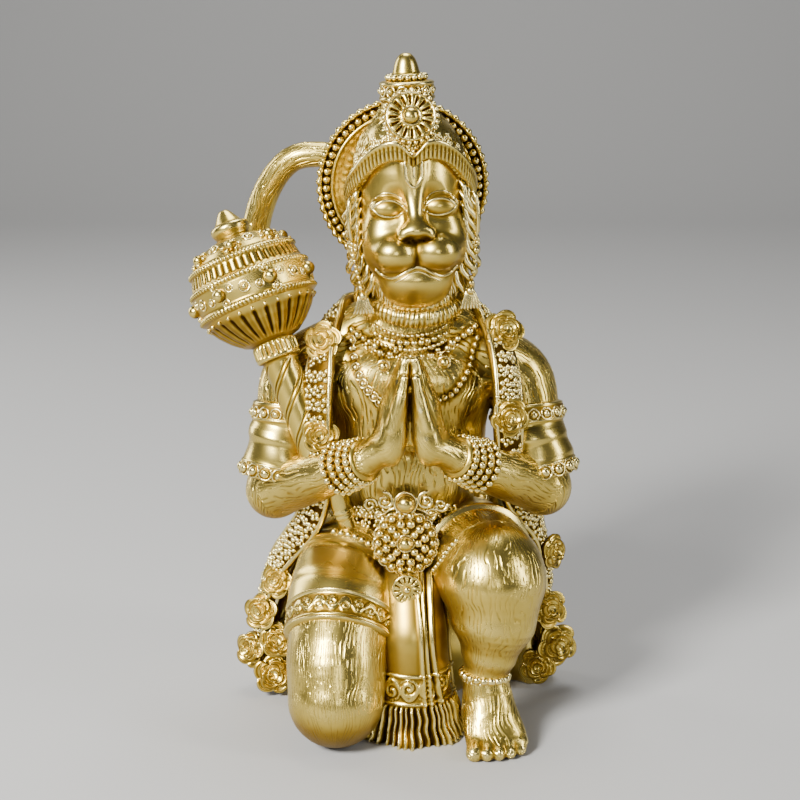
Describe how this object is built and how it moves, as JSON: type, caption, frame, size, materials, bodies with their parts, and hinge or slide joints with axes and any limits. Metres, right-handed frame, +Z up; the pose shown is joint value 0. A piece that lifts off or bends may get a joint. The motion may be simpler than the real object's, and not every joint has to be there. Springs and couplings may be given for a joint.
{
  "type": "hanuman figure",
  "caption": "Kneeling monkey-faced guardian figure with palms together, crown, halo, mace, raised tail and garlands, cast in one piece and gold painted.",
  "frame": {"origin": "on the flat underside, midway across the torso and just in front of its back", "axes": "+Z up through the crown, -Y towards the viewer that the face looks at, +X to that viewer's right"},
  "size_m": [0.1185, 0.0973, 0.2],
  "materials": {
    "gold_resin": "satin metallic gold paint, brighter on the high points and darker in the recesses"
  },
  "bodies": {
    "root": {"figure": "gold_resin"}
  },
  "joints": []
}
